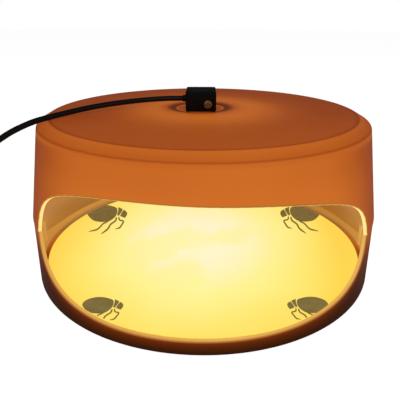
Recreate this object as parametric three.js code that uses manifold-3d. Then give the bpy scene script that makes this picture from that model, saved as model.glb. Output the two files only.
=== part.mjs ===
// Plug-in flea trap: an amber drum that a small lamp lights from inside, over a sticky disc.
// Millimetres, +Z up. The origin is on the floor, under the middle of the drum, and the mouth
// faces -Y. Every mesh is one separate piece of the trap.

import * as THREE from 'three';
import * as BufferGeometryUtils from 'three/addons/utils/BufferGeometryUtils.js';
import Module from 'manifold-3d';

const wasm = await Module();
wasm.setup();

// ---------------------------------------------------------------- driving dimensions

const GAP = 0.3;                    // air between neighbouring pieces
const WALL = 2.4;                   // wall of the amber mouldings

const DRUM_RADIUS = 107.5;          // cover, outside, at its lower rim
const SEAM_Z = 43.2;                 // top edge of the tray wall
const SHOULDER_Z = 96.7;            // where the wall turns into the sloping shoulder
const SHOULDER_RADIUS = 99.8;
const TOP_Z = 100.5;                // rim of the gently crowned top
const TOP_RADIUS = 93.2;
const HUB_Z = 102;                  // the crown, round the well
const WELL_RADIUS = 16;             // shallow round well that the lampholder block stands in
const WELL_Z = 100.9;
const WELL_SLOPE = 4;               // width of the well's sloping side
const STEM_HOLE_RADIUS = 5.3;

const TRAY_RADIUS = 107.2;
const TRAY_BOTTOM_Z = 1.4;
const TRAY_UNDERSIDE_Z = 4.8;       // recessed inside the ring at the tray's lower edge
const TRAY_RING_RADIUS = 97;        // inside of that ring
const TRAY_FLOOR_Z = 7.4;
const TRAY_CORNER = 3;              // rounding of the tray's lower edge
const TRAY_INSIDE_RADIUS = 104.4;

const SKIRT_OUTSIDE_RADIUS = 104.0; // the cover's skirt stands inside the tray wall
const SKIRT_INSIDE_RADIUS = 101.9;
const SKIRT_BOTTOM_Z = 15.2;

const MOUTH_HALF_ANGLE = THREE.MathUtils.degToRad(57);
const MOUTH_TURN = THREE.MathUtils.degToRad(-1);  // the mouth's middle is a little left of -Y
const MOUTH_TOP_Z = 77.4;
const MOUTH_SLANT = 2.6;            // the top edge is higher by this at its left end, lower at its right
const MOUTH_LIP_Z = 11;
const MOUTH_POWER = 2.6;            // 2 would be an ellipse, more is squarer
const MOUTH_LIP_POWER = 3;

const FOOT_RADIUS = 5;
const FOOT_RING_RADIUS = 84;

const DISC_RADIUS = 102.6;
const CARD_THICKNESS = 1.1;
const GLUE_RADIUS = 102.1;
const GLUE_THICKNESS = 0.3;

const BLOCK_LEFT_X = -11;           // the block is longer on the side where the cord goes in
const BLOCK_RIGHT_X = 7.4;
const BLOCK_DEPTH = 22;
const BLOCK_HEIGHT = 12.1;
const BLOCK_ROUNDING = 2;

const SCREW_X = 2.4;
const SCREW_HEIGHT = 4;             // above the block's underside
const SCREW_HEAD_RADIUS = 2.6;
const SCREW_HEAD_LENGTH = 1.7;
const SCREW_SHANK_RADIUS = 1.4;
const SCREW_SHANK_LENGTH = 4;

const STEM_TOP = 7.3;                // above the block's underside
const STEM_RADIUS = 5;
const STEM_BORE_RADIUS = 3.4;
const HOLDER_RADIUS = 12;
const HOLDER_TOP_Z = 93.2;
const HOLDER_BOTTOM_Z = 65.8;
const SHELL_RADIUS = 7.4;           // brass screw shell of the lampholder

const BULB_CAP_RADIUS = 6.0;        // small candelabra screw cap
const BULB_CAP_TOP_Z = 81.8;
const BULB_CAP_BOTTOM_Z = 67.8;
const BULB_RADIUS = 11;
const BULB_END_Z = 42.8;

const CORD_RADIUS = 1.6;
const CORD_EXIT_Z = 107.7;
const GLAND_RADIUS = 2.2;
const GLAND_LENGTH = 2;
const COIL_CENTRE = new THREE.Vector2(-175, -100);
const COIL_INSIDE_RADIUS = 14.4;
const COIL_OUTSIDE_RADIUS = 24;
const COIL_HEIGHT = 12.8;

const PLUG_X = COIL_CENTRE.x - 22.4;
const PLUG_Y = -32;                 // back of the plug's strain relief
const PLUG_WIDTH = 22;
const PLUG_HEIGHT = 13;
const PLUG_LENGTH = 24;
const RELIEF_LENGTH = 20;

// ---------------------------------------------------------------- materials

function material(colour, roughness, metalness = 0) {
  return new THREE.MeshStandardMaterial({ color: colour, roughness, metalness });
}

const AMBER = material(0xc4672a, 0.35);
const AMBER_DARK = material(0x8a4520, 0.35);
const CARD = material(0xe8d44a, 0.8);
const GLUE = material(0xfbee7c, 0.2);
const BLACK_PLASTIC = material(0x101010, 0.5);
const BLACK_PHENOLIC = material(0x1a1715, 0.4);
const BLACK_PVC = material(0x0c0c0e, 0.45);
const BRASS = material(0xb08040, 0.3, 1);
const NICKEL = material(0xb8b4a8, 0.25, 1);
const ZINC = material(0x9a9a96, 0.35, 1);
const GLASS = material(0xfff2d0, 0.1);
const TUNGSTEN = material(0x8c8880, 0.4, 1);
const RUBBER = material(0x222222, 0.9);

// ---------------------------------------------------------------- shape helpers

const trap = new THREE.Group();

function add(name, geometry, finish, parent = trap) {
  const mesh = new THREE.Mesh(geometry, finish);
  mesh.name = name;
  parent.add(mesh);
  return mesh;
}

// A profile of [radius, z] pairs turned about the Z axis.
function turned(profile, segments = 48) {
  const points = profile.map(([r, z]) => new THREE.Vector2(r, z));
  const geometry = new THREE.LatheGeometry(points, segments);
  return geometry.rotateX(Math.PI / 2);
}

// A closed ring section turned about Z: the profile is repeated back to its first point.
function turnedRing(profile, segments = 48) {
  return turned([...profile, profile[0]], segments);
}

function rod(radius, length, segments = 24) {
  return new THREE.CylinderGeometry(radius, radius, length, segments);
}

function uprightRod(radius, lowZ, highZ, segments = 24) {
  const geometry = rod(radius, highZ - lowZ, segments).rotateX(Math.PI / 2);
  return geometry.translate(0, 0, (lowZ + highZ) / 2);
}

function solid(geometry) {
  const bare = geometry.clone();
  bare.deleteAttribute('normal');
  bare.deleteAttribute('uv');
  const merged = BufferGeometryUtils.mergeVertices(bare, 1e-4);
  return new wasm.Manifold(new wasm.Mesh({
    numProp: 3,
    vertProperties: new Float32Array(merged.attributes.position.array),
    triVerts: new Uint32Array(merged.index.array),
  }));
}

function geometryOf(manifold) {
  const mesh = manifold.getMesh();
  const geometry = new THREE.BufferGeometry();
  geometry.setAttribute('position', new THREE.BufferAttribute(mesh.vertProperties, 3));
  geometry.setIndex(new THREE.BufferAttribute(mesh.triVerts, 1));
  geometry.computeVertexNormals();
  return geometry;
}

function cut(base, ...tools) {
  let result = solid(base);
  for (const tool of tools) result = result.subtract(solid(tool));
  return geometryOf(result);
}

function arcPoints(centreR, centreZ, radius, fromDegrees, toDegrees, steps) {
  const points = [];
  for (let i = 0; i <= steps; i++) {
    const a = THREE.MathUtils.degToRad(fromDegrees + (toDegrees - fromDegrees) * i / steps);
    points.push([centreR + radius * Math.cos(a), centreZ + radius * Math.sin(a)]);
  }
  return points;
}

// ---------------------------------------------------------------- amber mouldings

// The mouth's outline is a squared ellipse drawn on the drum: across it goes by angle, and its
// top edge slants. The cutter is a wedge whose sides all run through the drum's axis, so the cut
// edges stay square to the wall.
function mouthCutter() {
  const steps = 14;
  const near = 30;
  const far = 130;
  const shape = new THREE.Shape();
  for (let i = 0; i < 4 * steps; i++) {
    const t = 2 * Math.PI * i / (4 * steps);
    const upper = Math.sin(t) > 0;
    const power = upper ? MOUTH_POWER : MOUTH_LIP_POWER;
    const across = Math.sign(Math.cos(t)) * Math.abs(Math.cos(t)) ** (2 / power);
    const up = Math.sign(Math.sin(t)) * Math.abs(Math.sin(t)) ** (2 / power);
    const reach = upper ? MOUTH_TOP_Z - MOUTH_SLANT * across - SEAM_Z : SEAM_Z - MOUTH_LIP_Z;
    const x = Math.tan(across * MOUTH_HALF_ANGLE + MOUTH_TURN);
    const z = SEAM_Z + up * reach;
    if (i === 0) shape.moveTo(x, z); else shape.lineTo(x, z);
  }
  const wedge = new THREE.ExtrudeGeometry(shape, { depth: 1, bevelEnabled: false });
  const position = wedge.attributes.position;
  for (let i = 0; i < position.count; i++) {
    const depth = near + (far - near) * position.getZ(i);
    position.setXYZ(i, position.getX(i) * depth, -depth, position.getY(i));
  }
  return wedge;
}

function coverShell() {
  const slope = (DRUM_RADIUS - SHOULDER_RADIUS) / (SHOULDER_Z - SEAM_Z);
  const insideAt = (z) => DRUM_RADIUS - WALL - slope * (z - SEAM_Z);
  const thickenedTo = SEAM_Z + (DRUM_RADIUS - WALL - SKIRT_INSIDE_RADIUS) / slope;
  const ceiling = SHOULDER_Z - 0.6;
  return turnedRing([
    [SKIRT_INSIDE_RADIUS, SKIRT_BOTTOM_Z],
    [SKIRT_OUTSIDE_RADIUS, SKIRT_BOTTOM_Z],
    [SKIRT_OUTSIDE_RADIUS, SEAM_Z + GAP],
    [DRUM_RADIUS, SEAM_Z + GAP],
    [SHOULDER_RADIUS, SHOULDER_Z],
    [TOP_RADIUS, TOP_Z],
    [WELL_RADIUS + WELL_SLOPE, HUB_Z],
    [WELL_RADIUS, WELL_Z],
    [STEM_HOLE_RADIUS, WELL_Z],
    [STEM_HOLE_RADIUS, WELL_Z - WALL],
    [WELL_RADIUS + 1, WELL_Z - WALL],
    [WELL_RADIUS + 2, HUB_Z - WALL],
    [TOP_RADIUS - 1, TOP_Z - WALL],
    [insideAt(ceiling), ceiling - 1],
    [SKIRT_INSIDE_RADIUS, thickenedTo],
  ], 96);
}

function trayShell() {
  return turned([
    [0, TRAY_UNDERSIDE_Z],
    [TRAY_RING_RADIUS - 1, TRAY_UNDERSIDE_Z],
    [TRAY_RING_RADIUS, TRAY_BOTTOM_Z],
    ...arcPoints(TRAY_RADIUS - TRAY_CORNER, TRAY_BOTTOM_Z + TRAY_CORNER, TRAY_CORNER, -90, 0, 5),
    [TRAY_RADIUS, SEAM_Z],
    [TRAY_INSIDE_RADIUS, SEAM_Z],
    [TRAY_INSIDE_RADIUS, TRAY_FLOOR_Z + 1.5],
    [TRAY_INSIDE_RADIUS - 1.5, TRAY_FLOOR_Z],
    [0, TRAY_FLOOR_Z],
  ], 96);
}

add('cover', cut(coverShell(), mouthCutter()), AMBER);
add('base_tray', cut(trayShell(), mouthCutter()), AMBER_DARK);

for (let i = 0; i < 4; i++) {
  const angle = Math.PI / 4 + i * Math.PI / 2;
  const foot = add(`rubber_foot_${i + 1}`, uprightRod(FOOT_RADIUS, 0, TRAY_UNDERSIDE_Z - GAP), RUBBER);
  foot.position.set(FOOT_RING_RADIUS * Math.cos(angle), FOOT_RING_RADIUS * Math.sin(angle), 0);
}

// ---------------------------------------------------------------- sticky disc

const cardTop = TRAY_FLOOR_Z + GAP + CARD_THICKNESS;
add('disc_card', uprightRod(DISC_RADIUS, TRAY_FLOOR_Z + GAP, cardTop, 72), CARD);
add('glue_film', uprightRod(GLUE_RADIUS, cardTop + GAP, cardTop + GAP + GLUE_THICKNESS, 72), GLUE);

// ---------------------------------------------------------------- lampholder block on the top

const blockBottom = WELL_Z + GAP;
const blockTop = blockBottom + BLOCK_HEIGHT;

function blockOutline() {
  const r = BLOCK_ROUNDING;
  const shape = new THREE.Shape();
  shape.moveTo(BLOCK_LEFT_X, blockBottom);
  shape.lineTo(BLOCK_RIGHT_X, blockBottom);
  shape.lineTo(BLOCK_RIGHT_X, blockTop - r);
  shape.absarc(BLOCK_RIGHT_X - r, blockTop - r, r, 0, Math.PI / 2, false);
  shape.lineTo(BLOCK_LEFT_X + r, blockTop);
  shape.absarc(BLOCK_LEFT_X + r, blockTop - r, r, Math.PI / 2, Math.PI, false);
  shape.closePath();
  return shape;
}

function lampholderBlock() {
  const body = new THREE.ExtrudeGeometry(blockOutline(), {
    depth: BLOCK_DEPTH, bevelEnabled: false, curveSegments: 5,
  });
  body.rotateX(Math.PI / 2).translate(0, BLOCK_DEPTH / 2, 0);
  const stemHole = uprightRod(STEM_HOLE_RADIUS, blockBottom - 1, blockBottom + STEM_TOP + GAP);
  const screwHole = rod(SCREW_SHANK_RADIUS + GAP, SCREW_SHANK_LENGTH + 1);
  screwHole.translate(SCREW_X, -BLOCK_DEPTH / 2 + SCREW_SHANK_LENGTH / 2, blockBottom + SCREW_HEIGHT);
  return cut(body, stemHole, screwHole);
}

add('lampholder_block', lampholderBlock(), BLACK_PLASTIC);

// Pan head with a cross recess, and its shank, in one piece; it points into the block's front.
function blockScrew() {
  const rounding = 0.6;
  const front = -BLOCK_DEPTH / 2 - GAP;
  const profile = turned([
    [0, -SCREW_SHANK_LENGTH + 1],
    [SCREW_SHANK_RADIUS, -SCREW_SHANK_LENGTH + 1],
    [SCREW_SHANK_RADIUS, 0],
    [SCREW_HEAD_RADIUS, 0],
    [SCREW_HEAD_RADIUS, SCREW_HEAD_LENGTH - rounding],
    [SCREW_HEAD_RADIUS - rounding, SCREW_HEAD_LENGTH],
    [0, SCREW_HEAD_LENGTH],
  ], 24);
  const slot = () => new THREE.BoxGeometry(3.2, 0.8, 1.4).translate(0, 0, SCREW_HEAD_LENGTH);
  const screw = cut(profile, slot(), slot().rotateZ(Math.PI / 2));
  return screw.rotateX(Math.PI / 2).translate(SCREW_X, front, blockBottom + SCREW_HEIGHT);
}

add('block_screw', blockScrew(), BRASS);

function glandProfile() {
  return turned([
    [0, 0],
    [GLAND_RADIUS, 0],
    [GLAND_RADIUS, GLAND_LENGTH - 0.5],
    [GLAND_RADIUS - 0.4, GLAND_LENGTH],
    [0, GLAND_LENGTH],
  ], 20);
}

const glandStart = BLOCK_LEFT_X - GAP;
add('cord_gland', glandProfile().rotateY(-Math.PI / 2).translate(glandStart, 0, CORD_EXIT_Z),
  BLACK_PLASTIC);

// ---------------------------------------------------------------- lampholder under the top

const ceilingZ = WELL_Z - WALL;
const washerTop = ceilingZ - GAP;
const washerBottom = washerTop - 0.8;
const nutTop = washerBottom - GAP;
const nutBottom = HOLDER_TOP_Z + GAP;

add('stem', turnedRing([
  [STEM_BORE_RADIUS, HOLDER_TOP_Z - 4],
  [STEM_RADIUS, HOLDER_TOP_Z - 4],
  [STEM_RADIUS, blockBottom + STEM_TOP],
  [STEM_BORE_RADIUS, blockBottom + STEM_TOP],
], 32), ZINC);

add('stem_washer', turnedRing([
  [STEM_HOLE_RADIUS, washerBottom],
  [12, washerBottom],
  [12, washerTop],
  [STEM_HOLE_RADIUS, washerTop],
], 32), ZINC);

add('stem_nut', cut(
  uprightRod(8.6, nutBottom, nutTop, 6),
  uprightRod(STEM_HOLE_RADIUS, nutBottom - 1, nutTop + 1, 32),
), BRASS);

add('lampholder_body', turnedRing([
  [STEM_HOLE_RADIUS, HOLDER_TOP_Z - 4],
  [HOLDER_RADIUS - 2, HOLDER_TOP_Z - 4],
  [HOLDER_RADIUS - 2, HOLDER_BOTTOM_Z],
  [HOLDER_RADIUS, HOLDER_BOTTOM_Z],
  [HOLDER_RADIUS, HOLDER_TOP_Z - 3],
  [9.5, HOLDER_TOP_Z],
  [STEM_HOLE_RADIUS, HOLDER_TOP_Z],
], 40), BLACK_PHENOLIC);

const boardTop = HOLDER_TOP_Z - 5.8;
const boardBottom = boardTop - 2.6;
add('holder_insulator', uprightRod(9.6, boardBottom, boardTop, 32), CARD);

add('screw_shell', turnedRing([
  [SHELL_RADIUS - 0.5, HOLDER_BOTTOM_Z + 1.5],
  [SHELL_RADIUS, HOLDER_BOTTOM_Z + 1.5],
  [SHELL_RADIUS, boardBottom - GAP],
  [SHELL_RADIUS - 0.5, boardBottom - GAP],
], 32), BRASS);

const contact = new THREE.BoxGeometry(7, 3, 0.5).translate(0, 0, boardBottom - 0.7);
add('centre_contact', contact, BRASS);

// ---------------------------------------------------------------- lamp

add('bulb_cap', turned([
  [0, BULB_CAP_BOTTOM_Z],
  [BULB_CAP_RADIUS, BULB_CAP_BOTTOM_Z],
  [BULB_CAP_RADIUS, BULB_CAP_TOP_Z - 1],
  [BULB_CAP_RADIUS - 1.5, BULB_CAP_TOP_Z],
  [0, BULB_CAP_TOP_Z],
], 32), NICKEL);

add('cap_insulator', turned([
  [0, BULB_CAP_TOP_Z + GAP],
  [4.2, BULB_CAP_TOP_Z + GAP],
  [2.6, BULB_CAP_TOP_Z + 1],
  [0, BULB_CAP_TOP_Z + 1],
], 24), BLACK_PHENOLIC);

add('cap_tip', uprightRod(2, BULB_CAP_TOP_Z + 1 + GAP, BULB_CAP_TOP_Z + 1.8, 20), NICKEL);

// Half of the lamp's outline, from its round lower end up to the open neck: a candle shape.
function bulbOutline(inset) {
  const neckZ = BULB_CAP_BOTTOM_Z - GAP;
  const bellyZ = BULB_END_Z + BULB_RADIUS;
  const neckRadius = 5.4;
  const points = arcPoints(0, bellyZ, BULB_RADIUS - inset, -90, 0, 8);
  const steps = 6;
  for (let i = 1; i <= steps; i++) {
    const t = i / steps;
    const narrowing = (1 - Math.cos(Math.PI * t)) / 2;
    const radius = BULB_RADIUS + (neckRadius - BULB_RADIUS) * narrowing - inset;
    points.push([radius, bellyZ + (neckZ - bellyZ) * t]);
  }
  points[0][0] = 0;
  return points;
}

add('bulb_glass', turned([...bulbOutline(0), ...bulbOutline(0.8).reverse()], 40), GLASS);

function filamentWire() {
  const top = BULB_CAP_BOTTOM_Z - GAP;
  const loop = BULB_END_Z + 9.6;
  const path = new THREE.CatmullRomCurve3([
    new THREE.Vector3(-1.4, 0, top),
    new THREE.Vector3(-1.6, 0, top - 6),
    new THREE.Vector3(-4.2, 0, loop + 4.4),
    new THREE.Vector3(-3.2, 0, loop + 1.4),
    new THREE.Vector3(0, 0, loop),
    new THREE.Vector3(3.2, 0, loop + 1.4),
    new THREE.Vector3(4.2, 0, loop + 4.4),
    new THREE.Vector3(1.6, 0, top - 6),
    new THREE.Vector3(1.4, 0, top),
  ]);
  return tube(path, 0.35, 6, 28);
}

// A round section carried along a curve.
function tube(path, radius, sides, steps) {
  const section = new THREE.Shape();
  for (let i = 0; i < sides; i++) {
    const a = 2 * Math.PI * i / sides;
    const x = radius * Math.cos(a);
    const y = radius * Math.sin(a);
    if (i === 0) section.moveTo(x, y); else section.lineTo(x, y);
  }
  return new THREE.ExtrudeGeometry(section, { steps, extrudePath: path, bevelEnabled: false });
}

add('filament', filamentWire(), TUNGSTEN);

// ---------------------------------------------------------------- cord, coil and plug

// Out of the gland, over the top and its left rim, down to the floor and on to the coil.
const leadRoute = [
  [glandStart - GLAND_LENGTH - GAP, 0, CORD_EXIT_Z],
  [-23, 0.6, 107.4],
  [-35, 0, 106.7],
  [-47, -3, 105.9],
  [-58, -8.5, 105.2],
  [-68, -15.5, 104.4],
  [-77, -23.5, 103.4],
  [-85.5, -32, 102.4],
  [-94, -41.5, 100.8],
  [-103, -53, 96.8],
  [-111.5, -65.5, 89.6],
  [-119.5, -78.5, 77.8],
  [-127, -91, 61.4],
  [-135, -102.5, 42],
  [-143.5, -112.5, 23],
  [-152.5, -120.5, 9.2],
  [-161.5, -125.2, 3],
  [-170, -126.4, 2],
];

// From the top rows of the coil down to the floor, and up a little into the plug.
const tailRoute = [
  [PLUG_X, COIL_CENTRE.y + 12.8, 9.4],
  [PLUG_X, COIL_CENTRE.y + 25, 6],
  [PLUG_X, COIL_CENTRE.y + 34, 2.8],
  [PLUG_X, COIL_CENTRE.y + 43, 1.8],
  [PLUG_X, COIL_CENTRE.y + 52, 2.6],
  [PLUG_X, COIL_CENTRE.y + 60, 5],
  [PLUG_X, PLUG_Y - GAP, PLUG_HEIGHT / 2],
];

function route(points) {
  return new THREE.CatmullRomCurve3(points.map((p) => new THREE.Vector3(...p)));
}

add('cord_lead', tube(route(leadRoute), CORD_RADIUS, 8, 48), BLACK_PVC);
add('cord_tail', tube(route(tailRoute), CORD_RADIUS, 8, 10), BLACK_PVC);

const coil = add('cord_coil', turnedRing([
  [COIL_INSIDE_RADIUS, 0],
  [COIL_OUTSIDE_RADIUS, 0],
  [COIL_OUTSIDE_RADIUS, COIL_HEIGHT],
  [COIL_INSIDE_RADIUS, COIL_HEIGHT],
], 40), BLACK_PVC);
coil.position.set(COIL_CENTRE.x, COIL_CENTRE.y, 0);

// A strap round the coil's section, closed on itself: a frame of four sides.
function coilTie() {
  const clearance = GAP + 0.1;
  const thickness = 0.8;
  const width = 4;
  const middle = (COIL_INSIDE_RADIUS + COIL_OUTSIDE_RADIUS) / 2;
  const across = COIL_OUTSIDE_RADIUS - COIL_INSIDE_RADIUS + 2 * clearance;
  const outside = new THREE.BoxGeometry(across + 2 * thickness, width, COIL_HEIGHT + clearance + thickness);
  outside.translate(middle, 0, (COIL_HEIGHT + clearance + thickness) / 2);
  const inside = new THREE.BoxGeometry(across, width + 2, COIL_HEIGHT + clearance + 1);
  inside.translate(middle, 0, (COIL_HEIGHT + clearance - 1) / 2);
  return cut(outside, inside);
}

const tie = add('coil_tie', coilTie(), BLACK_PLASTIC);
tie.position.set(COIL_CENTRE.x, COIL_CENTRE.y, 0);

const plug = new THREE.Group();
plug.position.set(PLUG_X, PLUG_Y, 0);
trap.add(plug);

function plugBody() {
  const half = PLUG_WIDTH / 2;
  const r = 4;
  const outline = new THREE.Shape();
  outline.moveTo(-half + r, 0);
  outline.lineTo(half - r, 0);
  outline.lineTo(half, r);
  outline.lineTo(half, PLUG_LENGTH);
  outline.lineTo(-half, PLUG_LENGTH);
  outline.lineTo(-half, r);
  outline.closePath();
  const body = new THREE.ExtrudeGeometry(outline, { depth: PLUG_HEIGHT, bevelEnabled: false });
  return body.translate(0, RELIEF_LENGTH + GAP, 0);
}

function plugRelief() {
  const cone = turned([
    [0, 0],
    [CORD_RADIUS + 0.8, 0],
    [CORD_RADIUS + 2.6, RELIEF_LENGTH],
    [0, RELIEF_LENGTH],
  ], 20);
  return cone.rotateX(-Math.PI / 2).translate(0, 0, PLUG_HEIGHT / 2);
}

add('plug_relief', plugRelief(), BLACK_PVC, plug);
add('plug_body', plugBody(), BLACK_PVC, plug);
for (const [side, x] of [['left', -6.35], ['right', 6.35]]) {
  const blade = new THREE.BoxGeometry(1.5, 16, 6.3);
  blade.translate(x, RELIEF_LENGTH + PLUG_LENGTH + 2 * GAP + 8, PLUG_HEIGHT / 2);
  add(`plug_blade_${side}`, blade, BRASS, plug);
}

export default trap;
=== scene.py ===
"""Plug-in flea trap: an amber drum over a glowing sticky disc, with its lamp, cord and plug.

Metres, +Z up, the origin on the floor under the middle of the drum; the mouth faces -Y. Angles
round the drum are measured from -Y, and are positive towards +X.
"""

import bpy
import bmesh
import numpy as np
from math import cos, pi, radians, sin, tau
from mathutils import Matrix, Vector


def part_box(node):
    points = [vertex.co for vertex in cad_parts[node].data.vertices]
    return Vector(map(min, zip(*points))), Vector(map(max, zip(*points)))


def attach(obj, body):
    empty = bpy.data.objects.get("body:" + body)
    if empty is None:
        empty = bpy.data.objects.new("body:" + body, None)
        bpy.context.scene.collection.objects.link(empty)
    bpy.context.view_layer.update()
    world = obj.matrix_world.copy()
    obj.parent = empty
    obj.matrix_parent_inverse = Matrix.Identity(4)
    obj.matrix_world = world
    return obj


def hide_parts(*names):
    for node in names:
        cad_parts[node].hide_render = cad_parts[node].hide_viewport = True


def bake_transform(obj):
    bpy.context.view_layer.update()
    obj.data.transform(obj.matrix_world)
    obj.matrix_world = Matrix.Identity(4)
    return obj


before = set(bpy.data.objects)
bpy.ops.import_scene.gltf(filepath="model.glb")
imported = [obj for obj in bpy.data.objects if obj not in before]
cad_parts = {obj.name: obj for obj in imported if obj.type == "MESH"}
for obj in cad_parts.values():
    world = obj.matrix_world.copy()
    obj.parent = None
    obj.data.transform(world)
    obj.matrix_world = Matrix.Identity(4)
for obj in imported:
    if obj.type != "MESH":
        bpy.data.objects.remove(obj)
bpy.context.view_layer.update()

MM = 0.001

# ------------------------------------------------------------------ sizes, from the frame

drum_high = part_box("cover")[1]
tray_low, tray_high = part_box("base_tray")
DRUM_RADIUS = drum_high.x
SEAM_Z = tray_high.z
HUB_Z = drum_high.z
GLASS_BOTTOM_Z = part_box("bulb_glass")[0].z
TRAY_RADIUS = tray_high.x
TRAY_BOTTOM_Z = tray_low.z
GAP = 0.3 * MM
WALL = 2.2 * MM
TRAY_WALL = 2.3 * MM
EDGE_ROUND = 0.6 * MM
TOP_Z = HUB_Z - 1.5 * MM
SHOULDER_Z = TOP_Z - 3.8 * MM
SHOULDER_RADIUS = DRUM_RADIUS - 7.7 * MM
TOP_RADIUS = SHOULDER_RADIUS - 6.6 * MM
WELL_RADIUS = 14.4 * MM
WELL_Z = HUB_Z - 1.1 * MM
WELL_SHIFT = np.array([-2.4, 3.6, 0]) * MM
WELL_REACH = 34 * MM
HOLE_RADIUS = 5.3 * MM

SKIRT_OUTSIDE = 104.4 * MM
SKIRT_INSIDE = 102.9 * MM
SKIRT_TOP_Z = SEAM_Z + 8 * MM
SKIRT_BOTTOM_Z = 15.2 * MM

MOUTH_HALF_ANGLE = radians(57)
MOUTH_TURN = radians(-1)
MOUTH_TOP_Z = 77.4 * MM
MOUTH_SLANT = 2.6 * MM
MOUTH_LIP_Z = 11 * MM
MOUTH_POWER, LIP_POWER = 2.6, 3.0


# ------------------------------------------------------------------ curves and meshes

def smooth_step(t):
    """Rises from 0 to 1 as t does, level at both ends."""
    t = np.clip(t, 0, 1)
    return t * t * (3 - 2 * t)


def bell(x, centre, width):
    """1 at the centre, falling to nothing about two widths away: exp(-((x - centre) / width)^2)."""
    return np.exp(-((x - centre) / width) ** 2)


def new_piece(name, points, faces, material, smooth_below=35.0):
    """A mesh object from an array of points and a list of faces. Doubled points are merged, so
    poles close, and the faces are turned to point out by the sign of the enclosed volume."""
    mesh = bpy.data.meshes.new(name)
    mesh.from_pydata(np.asarray(points, float).reshape(-1, 3).tolist(), [], faces)
    work = bmesh.new()
    work.from_mesh(mesh)
    bmesh.ops.remove_doubles(work, verts=work.verts, dist=1e-7)
    if work.calc_volume(signed=True) < 0:
        bmesh.ops.reverse_faces(work, faces=work.faces)
    work.to_mesh(mesh)
    work.free()
    mesh.shade_smooth()
    mesh.set_sharp_from_angle(angle=radians(smooth_below))
    piece = bpy.data.objects.new(name, mesh)
    bpy.context.scene.collection.objects.link(piece)
    mesh.materials.append(material)
    return piece


def grid_faces(rows, columns, wrap_rows=False, wrap_columns=False):
    """Four-sided faces over a grid of points numbered row by row."""
    r = np.arange(rows if wrap_rows else rows - 1)
    c = np.arange(columns if wrap_columns else columns - 1)
    i, j = np.meshgrid(r, c, indexing="ij")
    i2, j2 = (i + 1) % rows, (j + 1) % columns
    quads = np.stack([i * columns + j, i * columns + j2, i2 * columns + j2, i2 * columns + j], -1)
    return quads.reshape(-1, 4).tolist()


def filleted(corners, steps=5):
    """A polyline whose corners are rounded. Each corner is (a, b, cut); the curve leaves the
    line `cut` before the corner and joins it `cut` after, along a quadratic curve that the
    corner itself pulls on."""
    points = np.array([c[:2] for c in corners], float)
    result = [points[:1]]
    for k in range(1, len(points) - 1):
        cut = corners[k][2] if len(corners[k]) > 2 else 0
        before, here, after = points[k - 1:k + 2]
        if cut == 0:
            result.append(here[None])
            continue
        a = here + (before - here) / np.linalg.norm(before - here) * cut
        b = here + (after - here) / np.linalg.norm(after - here) * cut
        t = np.linspace(0, 1, steps + 1)[:, None]
        result.append((1 - t) ** 2 * a + 2 * t * (1 - t) * here + t ** 2 * b)
    result.append(points[-1:])
    return np.concatenate(result)


def turned(name, profile, material, sides=64, centre=(0, 0, 0), axis="z", closed=False):
    """A profile of (radius, height) rows turned about an axis through centre. A profile that
    starts and ends on the axis closes at its poles; closed=True joins its end to its start."""
    profile = np.asarray(profile, float)
    turn = np.linspace(0, tau, sides, endpoint=False)
    r, h = profile[:, 0, None], profile[:, 1, None]
    a, b = r * np.cos(turn), r * np.sin(turn)
    h = np.broadcast_to(h, a.shape)
    order = {"z": (a, b, h), "-x": (-h, a, b), "y": (b, h, a), "-y": (a, -h, b)}[axis]
    points = np.stack(order, -1) + np.array(centre)
    return new_piece(name, points, grid_faces(len(profile), sides, closed, True), material)


def rounded_box(name, low, high, radius, material, steps=5):
    """A box with rounded edges: the box shrunk by the radius, plus a ball of that radius. Each
    of the ball's eight octants is moved out to its own corner, and two caps close the ends."""
    low, high = np.array(low, float), np.array(high, float)
    centre, half = (low + high) / 2, (high - low) / 2 - radius
    quarter = np.linspace(0, pi / 2, steps + 1)
    around = np.concatenate([quarter + k * pi / 2 for k in range(4)])
    corner_x = np.repeat([1, -1, -1, 1], steps + 1)
    corner_y = np.repeat([1, 1, -1, -1], steps + 1)
    up = np.concatenate([quarter - pi / 2, quarter])[:, None]
    corner_z = np.repeat([-1, 1], steps + 1)[:, None]
    x = corner_x * half[0] + radius * np.cos(up) * np.cos(around)
    y = corner_y * half[1] + radius * np.cos(up) * np.sin(around)
    z = np.broadcast_to(corner_z * half[2] + radius * np.sin(up), x.shape)
    points = np.stack([x, y, z], -1) + centre
    rows, columns = x.shape
    faces = grid_faces(rows, columns, wrap_columns=True)
    faces.append(list(range(columns))[::-1])
    faces.append([(rows - 1) * columns + c for c in range(columns)])
    return new_piece(name, points, faces, material)


def along(path, radius, sides):
    """Points of a tube: at each point of the path, a circle square to it. The circle's first
    direction is carried along the path without twist."""
    path = np.asarray(path, float)
    tangent = np.gradient(path, axis=0)
    tangent /= np.linalg.norm(tangent, axis=1, keepdims=True)
    side = np.zeros_like(path)
    start = np.cross(tangent[0], [0.0, 0.0, 1.0])
    if np.linalg.norm(start) < 1e-6:
        start = np.array([1.0, 0.0, 0.0])
    side[0] = start / np.linalg.norm(start)
    for k in range(1, len(path)):
        s = side[k - 1] - tangent[k] * (side[k - 1] @ tangent[k])
        side[k] = s / np.linalg.norm(s)
    other = np.cross(tangent, side)
    turn = np.linspace(0, tau, sides, endpoint=False)[None, :, None]
    radius = np.broadcast_to(np.asarray(radius, float), (len(path),))[:, None, None]
    return path[:, None] + radius * (np.cos(turn) * side[:, None] + np.sin(turn) * other[:, None])


def tube(name, path, radius, sides, material):
    """A tube along a path, closed by a flat face at each end."""
    points = along(path, radius, sides)
    rows = len(points)
    faces = grid_faces(rows, sides, wrap_columns=True)
    faces.append(list(range(sides))[::-1])
    faces.append([(rows - 1) * sides + c for c in range(sides)])
    return new_piece(name, points, faces, material)


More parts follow.
